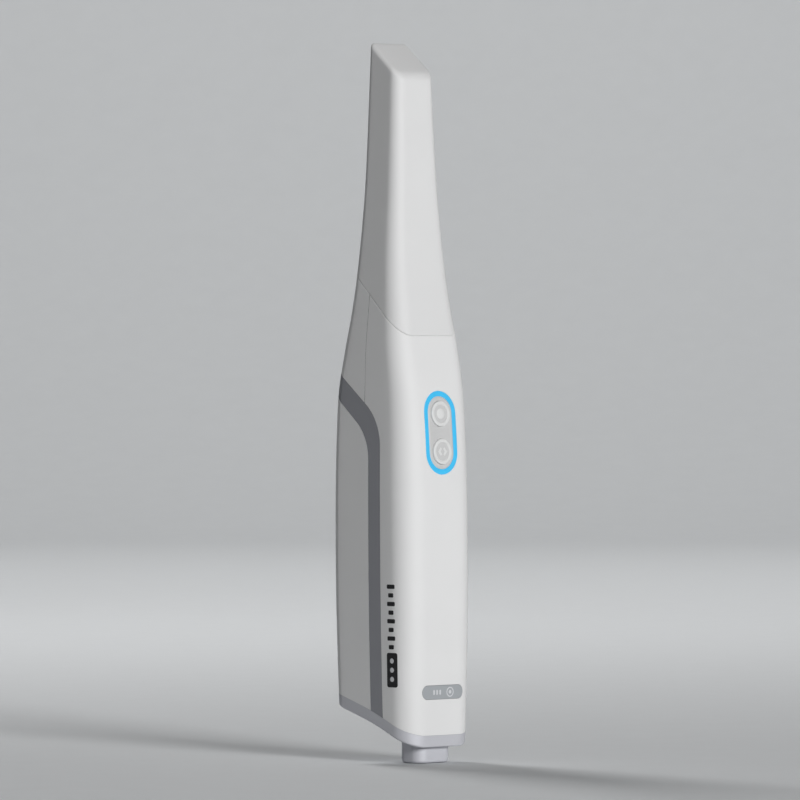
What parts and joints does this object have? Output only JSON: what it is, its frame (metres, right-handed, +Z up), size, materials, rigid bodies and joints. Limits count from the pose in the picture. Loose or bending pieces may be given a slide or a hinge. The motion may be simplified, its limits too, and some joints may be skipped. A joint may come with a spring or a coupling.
{
  "type": "intraoral camera",
  "caption": "Hand-held intraoral scanning camera: tapered wand with a pull-off mirror tip, two keys in a lit ring, a sloped base and a cable socket.",
  "frame": {"origin": "under the middle of the body, level with the mouth of the cable socket", "axes": "+Z up the wand towards the tip, the keys face -Y, +X to the right of someone who looks at the keys"},
  "size_m": [0.0348, 0.0384, 0.2514],
  "materials": {
    "white_plastic": "satin moulded white plastic",
    "tip_plastic": "satin autoclavable white plastic",
    "trim_plastic": "dark grey satin plastic",
    "cap_plastic": "mid grey satin plastic",
    "plate_plastic": "light grey satin plastic",
    "button_plastic": "light grey soft-touch plastic",
    "label_plastic": "grey printed inlay",
    "light_ring": "lit blue light guide",
    "nose_plastic": "black matt plastic",
    "lens_glass": "coated optical glass",
    "mirror": "first-surface mirror",
    "seal_rubber": "black silicone",
    "steel": "stainless steel",
    "gold_contact": "gold plated contact",
    "aluminium": "machined aluminium",
    "board_green": "green solder mask",
    "amber_film": "amber flexible circuit",
    "thermal_pad": "grey silicone pad",
    "ivory_plastic": "ivory nylon"
  },
  "bodies": {
    "handpiece": {"nose_housing": "nose_plastic", "nose_window": "lens_glass", "window_gasket": "seal_rubber", "retention_spring_left": "steel", "retention_spring_right": "steel", "front_shell": "white_plastic", "rear_upper_shell": "white_plastic", "rear_cover": "white_plastic", "trim_band": "trim_plastic", "bottom_cap": "cap_plastic", "cable_socket": "cap_plastic", "socket_insert": "nose_plastic", "contact_pin_1": "gold_contact", "contact_pin_2": "gold_contact", "contact_pin_3": "gold_contact", "contact_pin_4": "gold_contact", "socket_lead": "seal_rubber", "light_ring": "light_ring", "button_plate": "plate_plastic", "key_board": "board_green", "upper_switch": "steel", "lower_switch": "steel", "label_inlay": "label_plastic", "optical_frame": "aluminium", "projector_barrel": "nose_plastic", "projector_lens": "lens_glass", "camera_left_barrel": "nose_plastic", "camera_left_lens": "lens_glass", "camera_right_barrel": "nose_plastic", "camera_right_lens": "lens_glass", "sensor_board": "board_green", "ribbon_cable": "amber_film", "main_board": "board_green", "processor_chip": "nose_plastic", "thermal_pad": "thermal_pad", "chassis": "aluminium", "board_connector": "ivory_plastic", "board_screw_lower_left": "steel", "board_screw_lower_right": "steel", "board_screw_upper_left": "steel", "board_screw_upper_right": "steel", "cap_screw_left": "steel", "cap_screw_right": "steel"},
    "tip": {"tip_sleeve": "tip_plastic", "tip_mirror": "mirror"},
    "upper_key": {"upper_button": "button_plastic"},
    "lower_key": {"lower_button": "button_plastic"}
  },
  "joints": [
    {"name": "tip_slide", "type": "slide", "parent": "handpiece", "child": "tip", "axis": [0, 0, 1], "range_m": [0, 0.06]},
    {"name": "upper_button_press", "type": "slide", "parent": "handpiece", "child": "upper_key", "axis": [0, 0.9972, -0.075], "range_m": [0, 0.0006], "stiffness_N_per_m": 1500},
    {"name": "lower_button_press", "type": "slide", "parent": "handpiece", "child": "lower_key", "axis": [0, 0.9972, -0.075], "range_m": [0, 0.0006], "stiffness_N_per_m": 1500}
  ]
}
